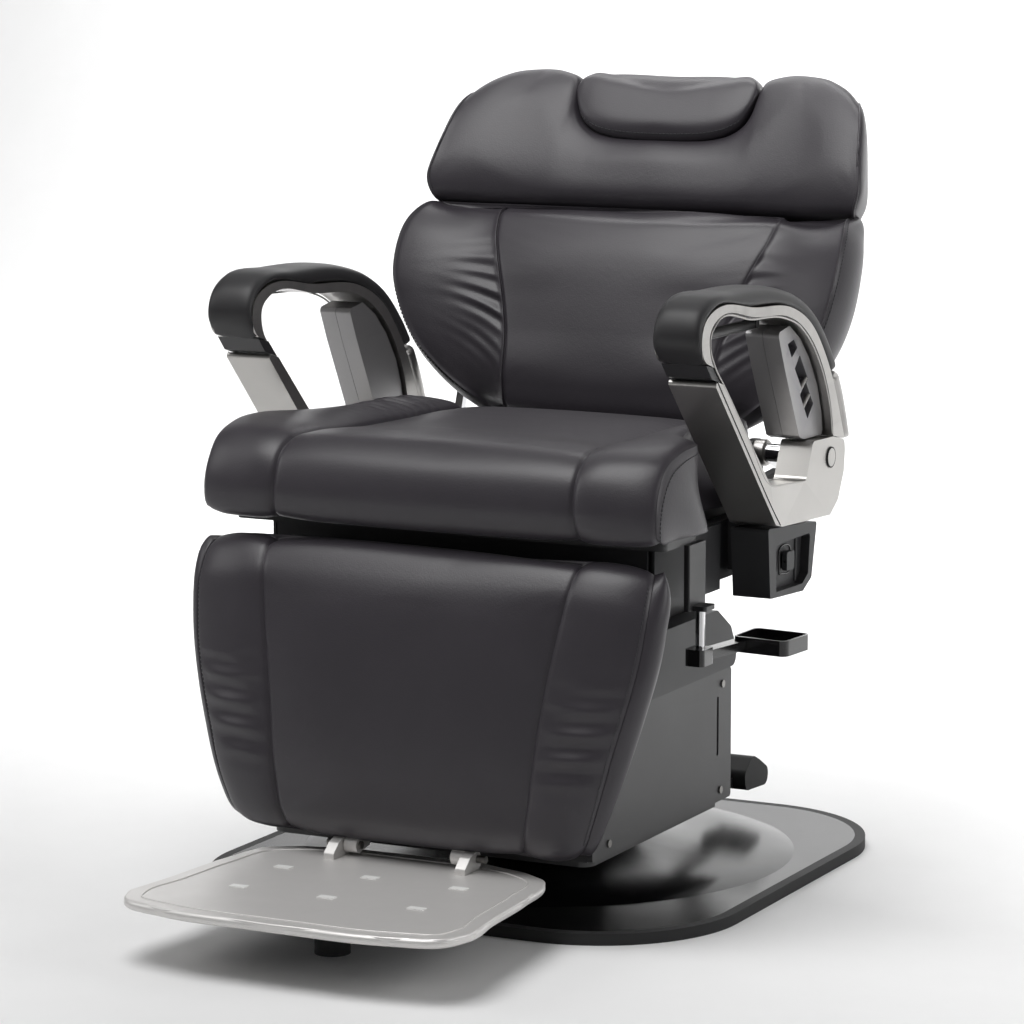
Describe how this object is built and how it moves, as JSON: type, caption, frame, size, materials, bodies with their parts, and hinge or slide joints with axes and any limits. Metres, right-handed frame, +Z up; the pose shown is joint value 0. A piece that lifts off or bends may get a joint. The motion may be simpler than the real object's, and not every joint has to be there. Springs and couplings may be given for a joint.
{
  "type": "hydraulic barber chair",
  "caption": "Upholstered barber chair with reclining back, coupled leg rest, folding footplate, loop arms and a swivelling lift base.",
  "frame": {"origin": "swivel axis on the floor, under the base plate", "axes": "+Z up, the sitter faces -Y, +X to the sitter's left"},
  "size_m": [0.7602, 1.1606, 1.0224],
  "materials": {
    "black_leather": "satin",
    "soft_urethane": "matte",
    "cast_arm_metal": "satin",
    "graphite_plastic": "matte",
    "black_joint_plastic": "matte",
    "graphite_panel_paint": "satin",
    "gloss_black_paint": "gloss",
    "gloss_black_plastic": "gloss",
    "black_rubber": "matte",
    "black_frame_paint": "satin",
    "bright_chrome": "polished",
    "cast_aluminium_plate": "brushed",
    "bright_inserts": "satin",
    "plain_steel": "satin"
  },
  "bodies": {
    "base": {"base_plate": "black_frame_paint", "base_cover": "gloss_black_paint", "base_rim": "black_rubber", "swivel_post": "plain_steel", "swivel_bearing": "plain_steel"},
    "turntable": {"turntable_plate": "black_frame_paint", "pump_cylinder": "black_frame_paint", "pump_unit": "black_frame_paint", "housing_right": "graphite_panel_paint", "housing_left": "graphite_panel_paint", "housing_front": "graphite_panel_paint", "housing_rear": "graphite_panel_paint", "upper_shroud": "graphite_plastic", "housing_screws": "plain_steel", "pedal_pin": "plain_steel"},
    "pedal": {"pump_pedal": "black_frame_paint", "pedal_pad": "black_rubber"},
    "carriage": {"lift_ram": "bright_chrome", "lift_sleeve": "graphite_plastic", "seat_frame": "black_frame_paint", "seat_pan": "black_frame_paint", "seat_cushion": "black_leather", "seat_skirts": "graphite_plastic", "side_box_right": "graphite_plastic", "side_box_left": "graphite_plastic", "arm_mounts": "black_frame_paint", "tray_bracket": "black_frame_paint", "tray_post": "bright_chrome", "arm_rail_right": "cast_arm_metal", "arm_rail_left": "cast_arm_metal", "arm_strut_right": "cast_arm_metal", "arm_strut_left": "cast_arm_metal", "arm_pad_right": "soft_urethane", "arm_pad_left": "soft_urethane", "link_cover_inner_right": "graphite_plastic", "link_cover_outer_right": "graphite_plastic", "link_cover_inner_left": "graphite_plastic", "link_cover_outer_left": "graphite_plastic", "arm_bands": "black_joint_plastic", "pivot_axles": "bright_chrome", "legrest_pin": "plain_steel"},
    "rocker": {"control_rocker": "black_joint_plastic"},
    "lever": {"recline_lever": "black_frame_paint"},
    "backrest": {"back_frame": "black_frame_paint", "back_hubs": "bright_chrome", "back_shell": "graphite_plastic", "back_cushion": "black_leather", "head_cushion": "black_leather"},
    "headrest": {"headrest_rods": "bright_chrome", "headrest_pillow": "black_leather"},
    "legrest": {"legrest_cushion": "black_leather", "legrest_pan": "black_frame_paint", "footplate_brackets": "cast_aluminium_plate", "footplate_pins": "plain_steel"},
    "footplate": {"footplate": "cast_aluminium_plate", "footplate_frame": "black_frame_paint", "rubber_foot": "black_rubber", "tread_inserts": "bright_inserts"},
    "tray_arm": {"tray_clamp": "gloss_black_plastic", "tray": "gloss_black_plastic"}
  },
  "joints": [
    {"name": "swivel", "type": "hinge", "parent": "base", "child": "turntable", "pos_m": [0, 0, 0.08], "axis": [0, 0, 1], "continuous": true},
    {"name": "lift", "type": "slide", "parent": "turntable", "child": "carriage", "axis": [0, 0, 1], "range_m": [0, 0.16]},
    {"name": "pedal_press", "type": "hinge", "parent": "turntable", "child": "pedal", "pos_m": [0.15, 0.028, 0.112], "axis": [-1, 0, 0], "range_deg": [0, 4.5], "stiffness_Nm_per_rad": 120, "springref_deg": -4.58},
    {"name": "recline", "type": "hinge", "parent": "carriage", "child": "backrest", "pos_m": [0, 0.125, 0.543], "axis": [-1, 0, 0], "range_deg": [0, 50]},
    {"name": "headrest_slide", "type": "slide", "parent": "backrest", "child": "headrest", "axis": [0, 0.342, 0.9397], "range_m": [0, 0.08]},
    {"name": "legrest_swing", "type": "hinge", "parent": "carriage", "child": "legrest", "pos_m": [0, -0.316, 0.425], "axis": [-1, 0, 0], "range_deg": [0, 55]},
    {"name": "footplate_fold", "type": "hinge", "parent": "legrest", "child": "footplate", "pos_m": [0, -0.4, 0.095], "axis": [-1, 0, 0], "range_deg": [0, 40]},
    {"name": "tray_swing", "type": "hinge", "parent": "carriage", "child": "tray_arm", "pos_m": [0.312, -0.21, 0.337], "axis": [0, 0, 1], "range_deg": [-100, 0]},
    {"name": "rocker_press", "type": "hinge", "parent": "carriage", "child": "rocker", "pos_m": [0.329, 0.026, 0.421], "axis": [0, 1, 0], "range_deg": [-6, 6], "stiffness_Nm_per_rad": 0.3},
    {"name": "lever_squeeze", "type": "hinge", "parent": "carriage", "child": "lever", "pos_m": [0.297, -0.024, 0.73], "axis": [-1, 0, 0], "range_deg": [0, 2.5], "stiffness_Nm_per_rad": 25, "springref_deg": -3.44}
  ],
  "couplings": [
    {"joint": "legrest_swing", "follows": "recline", "ratio": 1.1}
  ]
}
